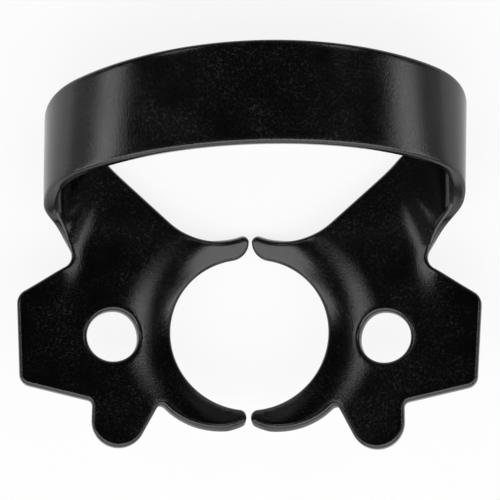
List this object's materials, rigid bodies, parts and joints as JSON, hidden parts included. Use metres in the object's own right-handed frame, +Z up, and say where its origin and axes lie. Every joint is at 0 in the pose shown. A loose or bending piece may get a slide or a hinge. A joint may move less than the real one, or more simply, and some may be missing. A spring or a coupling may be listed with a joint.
{
  "type": "rubber dam clamp",
  "caption": "Winged dental dam clamp bent from one spring steel sheet: a high bow joins two dished jaws whose prongs grip a molar's neck, with a forceps hole in each jaw.",
  "frame": {"origin": "centre of the bounding box's base, on the table that the clamp lies on, held up by its rear prongs and the rear corners of its necks", "axes": "+X across from jaw to jaw, +Y from the front tabs to the bow at the back, +Z up, on the side that faces away from the gum"},
  "size_m": [0.028, 0.0242, 0.0099],
  "materials": {
    "blackened_steel": "satin black finish on spring steel, fine tumbled grain"
  },
  "bodies": {
    "root": {"clamp_body": "blackened_steel"}
  },
  "joints": []
}
